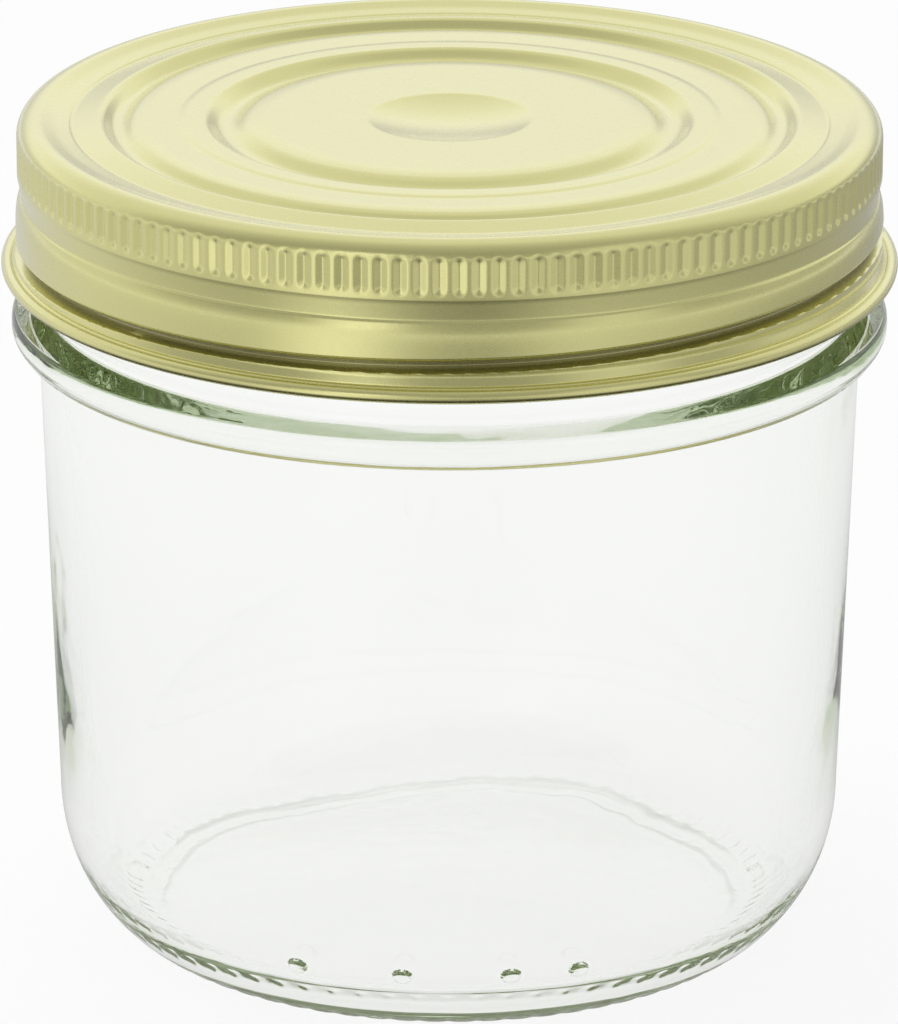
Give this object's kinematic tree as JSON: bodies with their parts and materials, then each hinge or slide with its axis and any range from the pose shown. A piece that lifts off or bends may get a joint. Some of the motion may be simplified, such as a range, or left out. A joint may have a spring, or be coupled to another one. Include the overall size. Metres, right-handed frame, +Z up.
{
  "type": "preserving jar with screw cap",
  "caption": "Wide-mouth clear glass preserving jar with a bead below the neck, a loose sealing disc and a pale gold screw cap with a fluted grip band.",
  "frame": {"origin": "middle of the plane that the foot ring stands on, on the jar's axis", "axes": "+Z up along the jar's axis, from the foot to the cap; -Y towards the front, where the four mould dots are low on the glass"},
  "size_m": [0.102, 0.102, 0.0962],
  "materials": {
    "clear_glass": "clear moulded soda glass with a faint green tint",
    "white_lacquered_tinplate": "thin tinplate under a pale food lacquer",
    "sealing_compound": "soft matt sealing compound",
    "pale_gold_tinplate": "thin tinplate under a satin pale gold lacquer"
  },
  "bodies": {
    "jar": {"glass_jar": "clear_glass"},
    "lid": {"sealing_disc": "white_lacquered_tinplate", "sealing_compound": "sealing_compound"},
    "cap": {"screw_cap": "pale_gold_tinplate"}
  },
  "joints": [
    {"name": "lid_lift", "type": "slide", "parent": "jar", "child": "lid", "axis": [0, 0, 1], "range_m": [0, 0.0204]},
    {"name": "cap_turn", "type": "hinge", "parent": "lid", "child": "cap", "pos_m": [0, 0, 0.09565], "axis": [0, 0, 1], "range_deg": [0, 1440]}
  ],
  "couplings": [
    {"joint": "lid_lift", "follows": "cap_turn", "m_per_rad": 0.00080851}
  ]
}
